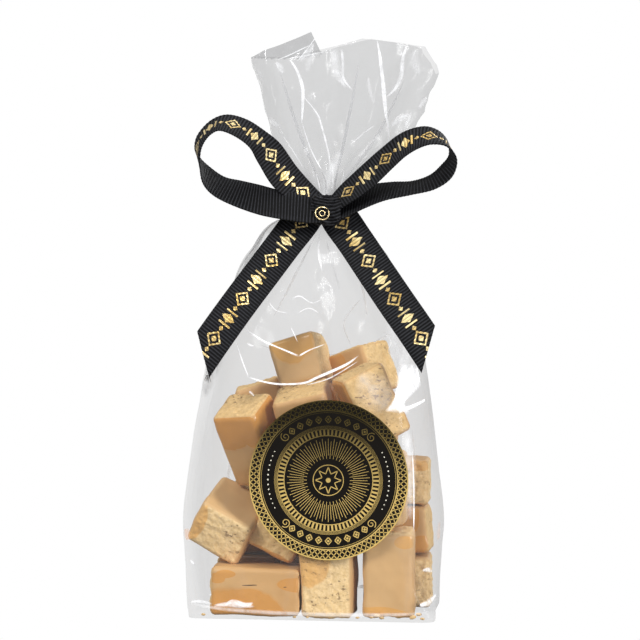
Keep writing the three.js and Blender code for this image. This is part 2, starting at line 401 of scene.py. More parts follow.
def filmMaterial():
    # Clear with a light grey veil, which is thicker where the film lies in several layers.
    material, nodes, shader = newMaterial("clearFilm")
    share = attributes(nodes, "veil")[0]
    edgeOn = addNode(nodes, "LayerWeight", Blend=0.25).outputs["Facing"]
    streaks = ramp(noiseNode(nodes, 46, 4, 0.55, (1, 1, 0.3), 1.4), 0.55, 0.75)
    for cause, veil in ((edgeOn, film["edgeVeil"]), (streaks, film["streakVeil"])):
        share = mathNode("MULTIPLY_ADD", cause, veil, share)
    colour = mixColour(streaks, (0.23, 0.232, 0.238), (0.42, 0.425, 0.43))
    bump = bumpNode(noiseNode(nodes, 120, 3, 0.5, (1, 1, 0.5)), 0.3, 0.0006)
    feed(shader, Base_Color=colour, Roughness=0.12, IOR=1.5, Normal=bump)
    letThrough(nodes, shader, share)
    return material


def makeFilm(material):
    bm = bmesh.new()
    layers = addLayers(bm, ["veil"])
    rows = film["bodyRows"] + film["neckRows"] + film["mouthRows"]
    for vert, across, along in addSheet(bm, film["turns"], rows):
        vert.co = filmPoint((across + 1) * math.pi, filmHeight(along))
        x, y, height = vert.co
        gathered = math.exp(-((height - film["gatherHeight"]) / 9) ** 2)
        foldFrom = film["foldHeight"] + 0.15 * max(x - film["foldStart"], 0)
        folded = y > 0 and x < film["foldEnd"] and height > foldFrom
        facing = min(max(y / 10, -1), 1) * (1 - smoothstep(height, *film["heapEnds"]))
        mark(vert, layers, veil=film["bodyVeil"] + film["frontLess"] * facing
             + film["mouthVeil"] * smoothstep(height, *film["veilRises"])
             + film["gatherVeil"] * gathered + film["foldVeil"] * folded)
    bmesh.ops.remove_doubles(bm, verts=bm.verts, dist=0.001)
    base = [edge for edge in bm.edges if edge.is_boundary and edge.verts[0].co.z < 1]
    bmesh.ops.holes_fill(bm, edges=base)
    bag = addPiece("film_bag", bm, [material])
    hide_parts("bag")


# Painted highlights, reflections and shade on the film: strips that lie just off it along its creases and
# folds. Each has its strength, its lightness, how soft its sides are and its wall, then points of x,
# height and width in the front view. Lightness runs from 0, dark, a painted shade, to 1, white, a painted
# highlight, and 2 is a painted reflection of the warm light from the fudge. Walls: 0 front, 1 back, 2 the
# back's inner side.
gleams = [
    (0.9, 1, 0.5, 0, (-20.4, 95.4, 0.34), (-14.3, 91.5, 0.6), (-8.3, 89, 0.6), (-1.9, 86.4, 0.8)),
    (0.8, 1, 0.5, 0, (-1.9, 86.4, 0.74), (1.6, 88.4, 0.54), (6.5, 90.3, 0.27)),
    (0.5, 1, 0.6, 0, (-4.9, 95.8, 0.2), (-3.5, 93.2, 0.47), (-2.4, 90.9, 0.2)),
    (0.7, 1, 0.5, 0, (-22.9, 91.1, 0.27), (-21, 86, 0.47), (-18.3, 79.5, 0.54)),
    (0.9, 1, 0.5, 0, (-18.3, 79.5, 0.54), (-14, 78.2, 0.67), (-8.1, 77.3, 0.74), (-0.2, 77.7, 0.87),
     (4.4, 79.6, 1.07), (13.3, 83.6, 1.01), (17.8, 86.9, 0.34)),
    (0.6, 1, 0.5, 0, (0.5, 77, 0.27), (8.4, 79.4, 0.54), (17.5, 84.9, 0.27)),
    (0.95, 1, 0.25, 0, (34.5, 84.1, 8.04), (34.2, 80.2, 8.71), (32.5, 75.6, 6.03), (30.6, 71.7, 4.02),
     (30, 68.1, 8.71)),
    (0.9, 1, 0.3, 0, (30.6, 68.8, 1.68), (35.2, 70.1, 1.34), (39.7, 71.8, 0.34)),
    (0.38, 1, 0.9, 0, (26.2, 98.8, 2.01), (28.4, 93.3, 4.69), (30.1, 87.9, 6.7), (32.5, 82.8, 7.37)),
    (0.9, 1, 0.5, 0, (34.9, 55.5, 0.27), (35.4, 46.5, 0.54), (35.6, 38.3, 0.6), (35.6, 29.6, 0.27)),
    (0.36, 1, 0.8, 0, (32.9, 63.3, 2.01), (33.9, 54.6, 4.02), (34.3, 44.8, 4.02), (34.3, 33.4, 2.68)),
    (0.6, 1, 0.6, 0, (-29.8, 3.9, 0.8), (-25.1, 4.5, 2.2), (-21.1, 4.2, 2.0), (-16.2, 4.2, 0.8)),
    (0.7, 1, 0.7, 0, (-18, 74.9, 0.67), (-17.3, 74.3, 1.01), (-16.3, 73.3, 0.34)),
    (0.6, 1, 0.7, 0, (-19.2, 90.5, 0.34), (-18.2, 89.9, 0.84), (-16.9, 89.6, 0.34)),
    (0.7, 1, 0.6, 0, (37.6, 5.6, 1.01), (39.6, 5.9, 2.01), (41.5, 5.6, 1.01)),
    (0.7, 1, 0.6, 0, (38.2, 16.6, 0.67), (39.2, 15.7, 1.34), (40.2, 14, 0.67)),
    (0.7, 1, 0.6, 0, (-37.8, 18.9, 0.34), (-37.1, 18.3, 1.01), (-36.4, 17.6, 0.34)),
    (0.45, 1, 0.7, 0, (-5.7, 104.5, 0.27), (-2.5, 105.8, 0.47), (1.6, 103.6, 0.4), (4.9, 104.9, 0.27)),
    (0.4, 1, 0.7, 0, (-2.8, 100.3, 0.27), (0.7, 101.9, 0.44), (4.1, 100.3, 0.27)),
    (0.4, 1, 0.7, 0, (25.1, 94.3, 0.27), (27.8, 91.4, 0.54), (27.2, 87.9, 0.4), (29.9, 85, 0.27)),
    (0.35, 1, 0.7, 0, (31.6, 95, 0.27), (33.6, 90.5, 0.54), (33.1, 85.3, 0.27)),
    (0.3, 1, 0.8, 0, (-24.7, 100.5, 0.27), (-21.8, 96.7, 0.6), (-23, 92.1, 0.34)),
    (0.35, 1, 0.7, 0, (-13, 104.5, 0.27), (-10.2, 101.3, 0.47), (-6.1, 100.3, 0.27)),
    (0.35, 1, 0.6, 0, (-37.1, 4.1, 1.01), (-24.4, 2.7, 1.68), (-1.3, 2.2, 1.68), (21.7, 2.3, 1.68),
     (40.2, 3.1, 1.01)),
    (0.5, 2, 0.5, 0, (-39.2, 29.4, 2.0), (-39.0, 27.6, 3.0), (-38.7, 25.4, 2.0)),
    (0.35, 2, 0.6, 0, (43.0, 30.5, 2.0), (43.0, 27.5, 3.4), (42.6, 24.0, 2.2)),
    (0.34, 0.62, 1, 0, (17.5, 80.5, 4), (22.5, 75.5, 14), (27.5, 70.0, 8)),
    (0.5, 1, 0.5, 0, (-37.6, 4.6, 0.6), (-34.5, 5.2, 1.3), (-30.2, 4.4, 0.8)),
    (0.7, 1, 0.4, 0, (-26.5, 3.8, 0.5), (-23.5, 5.6, 1.6), (-19.5, 4.6, 1.9), (-16.6, 5.4, 0.6)),
    (0.46, 0.1, 0.9, 0, (-29.6, 92.1, 3.35), (-30, 85.6, 6.7), (-31.9, 79.1, 6.03), (-33.2, 72.5, 2.68)),
    (0.25, 0.2, 0.9, 0, (-28.3, 104.4, 2.68), (-30.4, 94.7, 4.02), (-32.5, 83, 2.68)),
    (0.9, 0.75, 0.4, 0, (-6.8, 184.3, 0.5), (-4.2, 180.3, 1.01), (-2.3, 174.4, 1.34), (-2.4, 168.5, 1.14),
     (-2.9, 162.6, 0.4)),
    (0.6, 0.75, 0.5, 0, (-2.9, 163.3, 0.34), (0, 154.4, 0.54), (3.9, 146.8, 0.27)),
    (0.8, 0.75, 0.5, 0, (-2.4, 172.1, 0.34), (1.9, 166.6, 0.67), (3.5, 162.6, 0.8), (5.7, 153.1, 0.74),
     (6.6, 146.1, 0.34)),
    (0.6, 0.75, 0.5, 0, (-11.3, 161.7, 0.34), (-7, 155.4, 0.54), (-2.4, 147.8, 0.27)),
    (0.65, 0.75, 0.6, 0, (-14.2, 165.3, 0.67), (-12.9, 163.4, 2.35), (-10.2, 162, 0.67)),
    (0.95, 0.75, 0.35, 0, (22.4, 190.2, 0.34), (23.4, 184, 1.17), (24.3, 175.5, 1.51), (24.8, 167.4, 1.34),
     (25.1, 163.1, 0.34)),
    (0.6, 0.75, 0.6, 0, (24.8, 167.1, 1.01), (25.4, 160.5, 0.8), (24.3, 154, 0.4), (20.3, 146.7, 0.27)),
    (0.85, 0.75, 0.5, 0, (32, 188.5, 0.67), (30.6, 183.3, 1.34), (29.9, 178.1, 1.51), (27.9, 173.9, 1.17),
     (25.2, 171.3, 0.34)),
    (0.5, 0.75, 0.5, 0, (21.8, 162.5, 0.27), (17.7, 159.6, 0.54), (14, 156.6, 0.27)),
    (0.5, 0.75, 0.7, 0, (8.2, 187.4, 2.68), (8.1, 182.8, 4.02), (9.4, 178.3, 3.02), (12, 174.3, 0.67)),
    (0.85, 0.75, 0.5, 0, (10.5, 187.4, 0.84), (10.8, 182.8, 1.21), (11, 177.6, 1.21), (14, 173.7, 0.34)),
    (0.8, 0.75, 0.5, 2, (-14.5, 184.7, 0.34), (-8.4, 187.2, 0.54), (-2.1, 190.1, 0.34)),
    (0.8, 0.75, 0.5, 2, (-0.1, 193, 0.34), (-3.4, 188.5, 0.54), (-6.8, 184.3, 0.4)),
    (0.5, 0.75, 0.6, 2, (-5.8, 184.6, 1.01), (-3.1, 187.5, 3.02), (-1.1, 190.8, 1.01)),
    (0.6, 0.75, 0.5, 0, (-6.8, 184, 0.47), (-1.5, 184.9, 0.54), (5.5, 186.4, 0.27)),
    (0.6, 0.75, 0.5, 0, (37.8, 171.9, 0.34), (36.8, 170.2, 1.68), (35.1, 167.6, 0.67)),
    (0.5, 0.75, 0.6, 0, (33.2, 167.7, 0.34), (31.1, 162.5, 1.34), (28.1, 157.2, 1.34), (24.3, 152, 0.34)),
    (0.55, 0.75, 0.7, 0, (32.1, 166, 0.67), (29.1, 164.4, 2.68), (26.4, 161.8, 1.01)),
    (0.6, 0.75, 0.6, 0, (6.6, 150.7, 0.27), (7.3, 145.8, 0.67), (6.9, 140.2, 0.34)),
    (0.45, 0.2, 0.7, 0, (3.6, 146.8, 0.27), (4.9, 142.8, 0.67), (4.5, 138.8, 0.34)),
    (0.4, 0.2, 0.7, 0, (9, 146.8, 0.27), (7.9, 142.8, 0.6), (7.6, 138.8, 0.34)),
    (0.6, 0.75, 0.6, 0, (1.6, 146.8, 0.27), (2.6, 142.8, 0.54), (3.2, 138.8, 0.27)),
    (0.5, 0.75, 0.6, 0, (11, 148.1, 0.27), (9.9, 143.5, 0.54), (8.9, 139.2, 0.27)),
    (0.5, 0.75, 0.6, 0, (-11.2, 183, 0.67), (-9.5, 181, 2.68), (-8.6, 179.1, 0.67)),
    (0.3, 0.75, 0.8, 0, (-18.2, 181.8, 1.34), (-17.6, 179.1, 3.35), (-16, 175.8, 1.01)),
    (0.3, 0.75, 0.8, 0, (2.9, 186, 1.01), (0.2, 183.6, 3.35), (-0.6, 179.6, 1.34)),
    (0.35, 0.75, 0.8, 0, (34.9, 187.1, 1.01), (33.9, 183.2, 4.02), (35.8, 179.3, 2.01)),
    (0.35, 0.75, 0.8, 0, (19.3, 178.2, 0.67), (19.9, 173.6, 2.01), (21.2, 169, 0.67)),
    (0.3, 1, 0.9, 0, (3.5, 137.5, 2.68), (6.3, 145.5, 4.69), (9.7, 154, 3.35)),
    (0.45, 1, 0.8, 0, (-14.4, 126.9, 1.01), (-16.1, 122.2, 2.68), (-19.2, 116.9, 1.68)),
    (0.5, 1, 0.6, 0, (-6.1, 122.2, 0.34), (-9.7, 115, 0.8), (-13.2, 107.8, 0.34)),
    (0.4, 1, 0.7, 0, (3.1, 126.9, 0.34), (2.7, 120.9, 1.01), (4.4, 113.7, 0.67)),
    (0.3, 0.25, 0.8, 0, (5.2, 124.2, 0.34), (7.5, 117, 1.34), (10.7, 107.8, 0.67)),
    (0.6, 1, 0.5, 1, (24, 92, 0.4), (10, 86, 0.7), (-6, 84, 0.8), (-22, 88, 0.3)),
    (0.6, 1, 0.5, 1, (14, 104, 0.3), (8, 96, 0.6), (10, 88, 0.3)),
    (0.7, 1, 0.5, 1, (8, 126, 0.4), (14, 112, 0.9), (16, 98, 0.4)),
    (0.7, 1, 0.5, 1, (0, 126, 0.4), (-8, 112, 0.9), (-16, 98, 0.4)),
    (0.8, 0.75, 0.5, 1, (6, 142, 0.4), (10, 160, 1.2), (14, 184, 0.5)),
    (0.8, 0.75, 0.5, 1, (2, 142, 0.4), (-6, 162, 1.3), (-12, 180, 0.5)),
    (0.5, 0.75, 0.7, 1, (8, 142, 0.4), (20, 158, 1.6), (30, 178, 0.6)),
    (0.5, 1, 0.7, 1, (30, 10, 0.6), (33, 30, 1.6), (31, 60, 0.6)),
    (0.5, 1, 0.7, 1, (-30, 8, 0.6), (-34, 28, 1.8), (-30, 62, 0.6)),
    (0.8, 1, 0.4, 1, (12, 4, 1), (20, 4.6, 2.6), (28, 4, 1)),
]
gleam = {"steps": 8, "across": 4, "lift": 0.25, "layers": ("strength", "tone", "soft")}


def gleamMaterial():
    material, nodes, shader = newMaterial("paintedGleamFilm")
    # Painted light: the strips run from a dark painted shade to a white painted highlight, the lighter
    # ones glow a little, and lightness 2 is a warm painted reflection of the fudge.
    strength, tone, soft = attributes(nodes, *gleam["layers"])
    inward = mathNode("SUBTRACT", 1.0, mathNode("ABSOLUTE", lieParts(nodes)[1]))
    fade = mathNode("DIVIDE", inward, mathNode("ADD", soft, 0.05), clamp=True)
    broken = ramp(noiseNode(nodes, 330, 3, 0.6), 0.3, 0.62, 0.5, 1.0)
    paintedFudgeReflection = ramp(tone, 1.2, 1.8)
    colour = mixColour(tone, (0.10, 0.10, 0.11), (0.97, 0.98, 1.0))
    paintedGlow = mixColour(tone, (0.0, 0.0, 0.0), (1.0, 1.0, 1.0))
    feed(shader, Base_Color=mixColour(paintedFudgeReflection, colour, (0.86, 0.50, 0.30)), Roughness=0.3,
         Emission_Color=mixColour(paintedFudgeReflection, paintedGlow, (0.4, 0.24, 0.15)), Emission_Strength=0.25)
    letThrough(nodes, shader, times(fade, strength, broken))
    return material


def makeGleams(material):
    bm = bmesh.new()
    layers = addLayers(bm, gleam["layers"])
    lie = bm.loops.layers.uv.new("lie")
    for strength, tone, soft, side, *points in gleams:
        places = {}
        for vert, across, along in addSheet(bm, gleam["across"], gleam["steps"] * (len(points) - 1)):
            x, z, width = smoothRow(points, along)
            aheadX, aheadZ, _ = smoothRow(points, along + 0.01)
            backX, backZ, _ = smoothRow(points, along - 0.01)
            step = Vector((aheadX - backX, aheadZ - backZ)).normalized()
            reach = across * max(width, 0.1) / 2
            vert.co = onFilm(x - step.y * reach, z + step.x * reach, side > 0,
                             -gleam["lift"] if side == 2 else gleam["lift"])
            ends = smoothstep(min(along, 1 - along), -0.02, 0.16)
            mark(vert, layers, strength=strength * ends, tone=tone, soft=soft)
            places[vert] = (along, across)
        layOut({face for vert in places for face in vert.link_faces}, lie, places.get)
    addPiece("film_painted_gleams", bm, [material], outwards=False)


# The pieces of fudge, cut from a slab: two ends are rough and the other faces smooth.
fudge = {
    "shownPieces": 12,       # these come first in the list and are made finer
    "frontCuts": 40,
    "hiddenCuts": 22,
    "edge": 1.8,             # how round the edges are
    "wave": 0.5,             # how uneven the faces are, and the rough ones besides
    "crumb": 0.4,
    "taper": 0.05,           # how far a piece may widen upwards, and lean
    "lean": 0.06,
    "rearShade": 0.5,
    "layers": ("cut", "tone", "wet", "dark"),
}

# Name, width, depth and height, middle, turn in degrees, the rough cut faces, how pale it is,
# and the patches of its front that the film wets: middle and half sizes across and up. On the pieces at
# the back, whose fronts no film touches, a patch over the whole front is painted shade.
fudgePieces = [
    ("lower_left", (29.6, 16, 15.8), (-16.7, -15.6, 8.9), (0, 1, 2), "lr", 0.5,
     [("f", -3.9, -9.9, 17.5, 10.5), ("f", -12.6, 4.3, 2.4, 1.5), ("f", -9.6, 5.7, 3.0, 1.1),
      ("f", 14.5, 2.6, 7.6, 2.6)]),
    ("lower_middle", (17.2, 15, 27.4), (7.2, -16, 14.2), (0, 0, -3), "ftb", 1.0,
     [("f", -6.4, 6.4, 7.4, 9.2), ("f", 2, 10.5, 7, 3.4)]),
    ("lower_right", (16.8, 16, 28), (26.9, -14, 15.0), (3, 0.5, 4), "tb", 0.7,
     [("f", 5.6, 11.2, 3.4, 1.9), ("f", -7, 12, 4, 3), ("f", -7, -13, 14, 2.6)]),
    ("low_side", (17.5, 22, 16.6), (30.2, 11.5, 9.2), (0, 0, 3), "frk", 1.0, []),
    ("left_end", (18.8, 21, 16.6), (-27.2, -9.5, 30.8), (24, 28, 0), "fk", 1.0,
     [("f", -9.5, 1, 4.2, 8)]),
    ("under_seal", (17, 19, 16), (-9.2, -8, 28.6), (8, 25, 0), "fk", 0.5, [("f", 2, -8, 9, 2)]),
    ("left_upright", (16.5, 15, 28), (-18.9, -9.2, 57.7), (30, -4, -21), "tb", 0.45,
     [("f", -3.6, 11.3, 10.5, 9.5), ("f", 6, 9, 6, 8), ("f", 6, -10, 6, 5), ("r", 0, 2, 14, 16)]),
    ("upper_middle", (17.6, 19, 16), (-1.4, -9, 67), (14, -13, 0), "tk", 0.4, [("f", 2, -8, 9, 8)]),
    ("top", (16.3, 16, 16.5), (-4.6, 5.5, 83), (-8, -17, -6), "r", 1.0,
     [("f", 0.7, 10.0, 9.6, 10.4)]),
    ("top_back", (17, 15, 17), (15.7, 11.4, 79.6), (5, -17, -33), "trl", 0.6, [("f", -5, 4, 6, 6)]),
    ("right_slanted", (15, 15, 25), (20.6, -11.5, 70), (0, -26, 22), "ft", 0.45,
     [("f", -7, -8, 5, 9), ("l", 0, 0, 20, 20)]),
    ("side_upper", (24, 16, 15.6), (26.2, 14, 43), (0, 3, 2), "rlf", 1.0, [("f", 6, 7, 9, 3)]),
    ("side_lower", (24, 16, 15.6), (26.4, 14, 26.2), (0, -2, -3), "rl", 0.55,
     [("f", 4, 5, 6, 7), ("f", 10, -6, 5, 4)]),
    ("behind_left", (16, 16, 23), (-17.9, 13, 64.5), (0, -17, 5), "tb", 0.5, []),
    ("middle_front", (16.5, 15, 18.5), (6.5, -15.2, 45), (0, 4, 3), "tb", 0.5, []),
    ("middle_right", (16, 15.5, 24), (24.2, -15, 42.5), (0, -3, -4), "tb", 0.8, []),
    ("middle_back", (9.4, 10, 12.5), (3, 12.5, 69.2), (8, -18, -3), "tk", 0.1,
     [("f", 0, 0, 20, 20)]),
    ("rear_base_left", (21, 16, 16), (-23.2, 15, 8.7), (0, 0, -2), "lr", 0.1, [("f", 0, 0, 30, 20)]),
    ("rear_base_middle", (25, 16, 16), (0, 15, 8.7), (0, 0, 4), "lrk", 0.3, [("f", 0, 0, 30, 20)]),
    ("rear_left", (22, 15, 15.5), (-21.5, 15.3, 25.4), (0, -4, 3), "lr", 0.0, [("f", 0, 0, 30, 20)]),
    ("rear_middle", (17, 15, 27), (0.5, 15.5, 31), (0, 3, -3), "tbk", 0.3, [("f", 0, 0, 30, 20)]),
    ("rear_left_upper", (17, 15, 15.5), (-19.6, 15.3, 42), (0, 4, 0), "lr", 0.55, []),
    ("rear_top_middle", (15, 15, 13.6), (1.8, 15, 51.6), (0, -2, -4), "lr", 0.45, []),
    ("rear_top_right", (17, 15, 16), (18.6, 14.5, 60), (0, 4, 3), "tbk", 1.0, []),
]
# Thin cuts on a piece's front, drawn as dark sheets of painted shade: across, up, length and thickness.
fudgeSlitShades = {"lower_left": [(-1.9, 2.2, 5.4, 0.26), (9.9, 1.9, 1.1, 0.22)]}
# Loose crumbs along the bag's front: across, up and size.
fudgeCrumbs = [(22.0, 1.3, 1.2), (23.9, 1.9, 1.7), (25.3, 1.2, 1.3), (35.4, 1.5, 1.8), (37.4, 2.6, 1.5),
               (38.6, 1.1, 1.2), (17.4, 1.1, 1.0), (-3.4, 0.9, 0.9), (-33.6, 1.2, 1.1), (1.0, 0.9, 0.8)]
faceAxes = {"l": (-1, 0, 0), "r": (1, 0, 0), "f": (0, -1, 0), "k": (0, 1, 0), "t": (0, 0, 1),
            "b": (0, 0, -1)}


def fudgeMaterial():
    material, nodes, shader = newMaterial("vanillaFudge")
    rough, tone, wet, dark = attributes(nodes, *fudge["layers"])
    wander = times(mathNode("SUBTRACT", noiseNode(nodes, 55, 3, 0.5, distortion=0.5), 0.5), 0.9)
    evenTone = mathNode("ADD", wander, tone, clamp=True)
    even = mixColour(evenTone, (0.56, 0.285, 0.085), (0.71, 0.45, 0.20))
    grain = noiseNode(nodes, 1100, 3, 0.6)
    dull = mixColour(tone, (0.64, 0.39, 0.13), (0.82, 0.57, 0.26))
    bright = mixColour(tone, (0.75, 0.475, 0.175), (0.95, 0.70, 0.37))
    crumbly = mixColour(ramp(grain, 0.3, 0.7), dull, bright)
    pitted = ramp(noiseNode(nodes, 75, 2, 0.4), 0.46, 0.6)
    pits = ramp(noiseNode(nodes, 520, 3, 0.6, (1, 1, 1.7)), 0.42, 0.36)
    pits = times(pits, pitted, rough)
    wetted = ramp(mathNode("ADD", wander, wet), -0.05, 0.07)
    amber = mixColour(ramp(tone, 0.1, 0.9), (0.55, 0.18, 0.008), (0.80, 0.42, 0.10))
    colour = mixColour(rough, even, crumbly)
    colour = mixColour(times(wetted, 0.75), colour, amber)
    # The pits are sunk by the bump and painted darker as well: painted shade in them.
    colour = mixColour(times(pits, 0.75), colour, (0.25, 0.12, 0.04))
    # The dark layer is painted shade: in the thin slits and on the rear pieces' fronts.
    colour = mixColour(dark, colour, (0.02, 0.012, 0.008))
    matt = ramp(mathNode("SUBTRACT", rough, wetted), -1, 1, 0.25, 0.8)
    fine = times(grain, mathNode("MULTIPLY_ADD", rough, 0.7, 0.08))
    bump = bumpNode(mathNode("SUBTRACT", fine, pits), 0.6, 0.0005)
    feed(shader, Base_Color=colour, Roughness=matt, Normal=bump)
    return material


def wetness(patches, outward, place):
    # Over 0 within a patch, and falling off beyond it.
    wet = -1
    for face, across, up, wide, high in patches:
        if outward.dot(Vector(faceAxes[face])) > 0.7:
            x = place.x if face in "ft" else place.y
            z = place.y if face == "t" else place.z
            wet = max(wet, 1 - math.hypot((x - across) / wide, (z - up) / high))
    return wet


def paintSlitShades(bm, layers, slits):
    for across, up, long, thick in slits:
        near = min(vert.co.y for vert in bm.verts
                   if abs(vert.co.z - up) < 1 and abs(vert.co.x - across) < long / 2)
        place = Matrix.Translation((across, near, up)) @ Matrix.Rotation(-0.06, 4, "Y")
        # Each slit is a thin flat sheet marked dark: painted shade in the cut.
        made = bmesh.ops.create_icosphere(bm, subdivisions=2, radius=0.5,
                                          matrix=place @ Matrix.Diagonal((long, 0.12, thick, 1)))
        for vert in made["verts"]:
            mark(vert, layers, dark=1, wet=-1)


def makeFudge(name, size, middle, turn, cut, pale, patches, material, order):
    bm = bmesh.new()
    layers = addLayers(bm, fudge["layers"])
    addBlock(bm, fudge["frontCuts"] if order < fudge["shownPieces"] else fudge["hiddenCuts"])
    half = Vector(size) / 2
    seed = Vector((order * 7.3, order * 3.1, order * 5.7))
    taper = fudge["taper"] * noise.noise(seed)
    lean = fudge["lean"] * noise.noise(seed + Vector((3, 1, 2)))
    axes = [Vector(faceAxes[face]) for face in cut]
    for vert in bm.verts:
        flat = Vector([share * reach for share, reach in zip(vert.co, half)])
        core = Vector([math.copysign(min(abs(value), reach - fudge["edge"]), value)
                       for value, reach in zip(flat, half)])
        outward = (flat - core).normalized()
        place = core + outward * fudge["edge"]
        wet = wetness(patches, outward, place)
        rough = max([smoothstep(outward.dot(axis), 0.6, 0.95) for axis in axes])
        spot = place + seed
        push = fudge["wave"] * noise.noise(spot / 9) + 0.12 * noise.noise(spot / 3)
        push += rough * fudge["crumb"] * (noise.fractal(spot / 2.2, 0.9, 2.0, 4) - 0.25)
        place += outward * push
        place.x *= 1 + taper * place.z / half.z
        place.x += lean * place.z
        vert.co = place
        # The rear pieces' front faces, deep in the heap, are painted darker: painted shade.
        shaded = name.startswith("rear") and outward.y < -0.5
        mark(vert, layers, cut=rough, tone=pale, wet=wet, dark=fudge["rearShade"] if shaded else 0)
    paintSlitShades(bm, layers, fudgeSlitShades.get(name, []))
    turned = Euler([math.radians(angle) for angle in turn]).to_matrix().to_4x4()
    bmesh.ops.transform(bm, matrix=Matrix.Translation(middle) @ turned, verts=bm.verts)
    addPiece("fudge_" + name, bm, [material])


def makeCrumbs(material):
    bm = bmesh.new()
    layers = addLayers(bm, fudge["layers"])
    for x, z, size in fudgeCrumbs:
        made = bmesh.ops.create_icosphere(bm, subdivisions=2, radius=size / 2)["verts"]
        for vert in made:
            vert.co *= 1 + 0.5 * noise.noise(vert.co / size * 1.8 + Vector((x, z, 0)))
            vert.co = Vector((x + vert.co.x * 1.3, vert.co.y * 0.8 - 23.2, max(z + vert.co.z * 0.7, 0.5)))
            mark(vert, layers, cut=1, tone=0.6, wet=-1)
    addPiece("fudge_crumbs", bm, [material])


# The grosgrain ribbon.

ribbon = {
    "thickness": 0.42,
    "ribPitch": 1.05,
    "ribHeight": 0.17,
    "rowsPerRib": 6,
    "across": 22,
    "selvedge": 0.72,        # the share of the half width that the ribs reach
    "weave": 0.095,          # and of each column of the woven edge beyond it
    "printPitch": 16.5,
    "frame": (2.9, 3.0, 0.74),   # half length and width of the large lozenge, and its hollow
    # Where each filled lozenge is, as a share of the pitch, with its half length and width.
    "lozenges": [(0, 1.1, 1.15), (0.5, 1.6, 2.7), (0.25, 0.85, 0.95), (-0.25, 0.85, 0.95)],
    "bars": (0.36, 0.32, 2.3),   # the same for the bars on both sides
}

# A station: the ribbon's middle, then half its width as a vector towards the front edge.
leftLoop = [
    (4.5, -9.4, 135.4, -1.2, -1.6, -2.2), (-0.9, -9.0, 138.6, -2.2, -2.6, -3.0),
    (-8.1, -9.6, 145.0, -3.2, -3.2, -3.6), (-13.4, -10.4, 152.9, -3.1, -3.9, -3.2),
    (-17.4, -11.0, 157.6, -1.7, -5.0, -2.9), (-22.8, -11.0, 161.3, -1.0, -5.1, -3.0),
    (-28.7, -10.8, 163.1, -0.3, -5.2, -2.8), (-33.1, -10.6, 161.5, 0.8, -5.3, -2.5),
    (-36.5, -10.4, 157.7, 1.8, -5.5, -1.7), (-37.6, -10.2, 153.8, 1.8, -5.5, -1.3),
    (-36.9, -10.2, 149.8, 1.2, -5.4, -2.3), (-34.7, -10.4, 145.8, 0, -5.2, -3.0),
    (-30.3, -10.8, 142.1, -1.0, -5.0, -3.1), (-24.1, -11.8, 139.8, -1.0, -4.4, -4.0),
    (-16.7, -13.2, 137.6, 0, -3.6, -4.8), (-10.0, -14.2, 136.0, 0.3, -3.4, -4.7),
    (-0.5, -14.6, 134.2, 0.1, -3.0, -4.3), (5.2, -12.0, 133.4, 0.3, -1.6, -3.4),
]
rightLoop = [
    (6.6, -10.4, 134.8, 1.4, -2.6, -1.8), (12.1, -11.0, 139.4, 2.4, -4.6, -2.6),
    (19.0, -11.2, 145.0, 2.5, -4.3, -3.3), (25.8, -11.2, 151.2, 2.6, -4.5, -3.0),
    (31.2, -11.0, 155.6, 1.2, -4.4, -3.8), (36.9, -10.8, 158.0, 0, -4.8, -3.6),
    (41.5, -10.6, 158.0, -0.3, -5.4, -2.5), (45.5, -10.6, 155.9, 0.5, -5.8, -1.3),
    (47.4, -10.6, 151.4, 1.6, -5.7, -1.0), (45.3, -10.6, 146.8, 2.1, -5.3, -2.0),
    (40.6, -10.6, 143.2, 1.3, -5.4, -2.3), (33.7, -10.6, 141.3, 0.2, -5.5, -2.3),
    (26.2, -10.6, 140.3, -0.5, -5.1, -3.0), (19.0, -10.6, 138.5, -0.2, -4.6, -3.8),
    (11.6, -10.6, 135.4, 0, -3.6, -4.0), (5.8, -10.8, 133.2, -0.2, -1.8, -3.2),
]
# A tail runs on past its slanting cut: its stations, then half of the cut's line.
leftTail = [
    (2.2, -8.6, 136.6, 3.4, -0.5, -2.4), (-1.9, -8.4, 131.8, 4.8, -0.7, -3.6),
    (-8.5, -10.9, 122.9, 4.8, -1.2, -3.6), (-14.8, -14.8, 113.9, 4.8, -1.4, -3.6),
    (-21.1, -19.4, 104.8, 4.8, -1.5, -3.6), (-27.1, -23.8, 95.8, 4.8, -1.2, -3.6),
    (-33.0, -26.4, 86.9, 4.8, -1.0, -3.6), (-38.9, -27.2, 78.0, 4.8, -0.9, -3.6),
]
rightTail = [
    (5.6, -8.6, 136.4, -3.4, -0.5, -2.4), (9.3, -8.4, 131.8, -4.8, -0.7, -3.6),
    (15.2, -10.9, 123.9, -4.8, -1.2, -3.5), (22.5, -15.4, 113.8, -4.8, -1.4, -3.5),
    (30.0, -20.6, 103.6, -4.8, -1.5, -3.5), (36.6, -24.8, 94.8, -4.8, -1.2, -3.5),
    (42.5, -26.6, 86.2, -4.8, -1.0, -3.5), (48.4, -27.4, 77.6, -4.8, -0.9, -3.5),
]
tailCuts = {
    "left": ((-33.0, -26.6, 86.9), (2.3, -0.9, -7.4)),
    "right": ((40.5, -26.6, 88.6), (-2.0, -0.9, -7.4)),
}


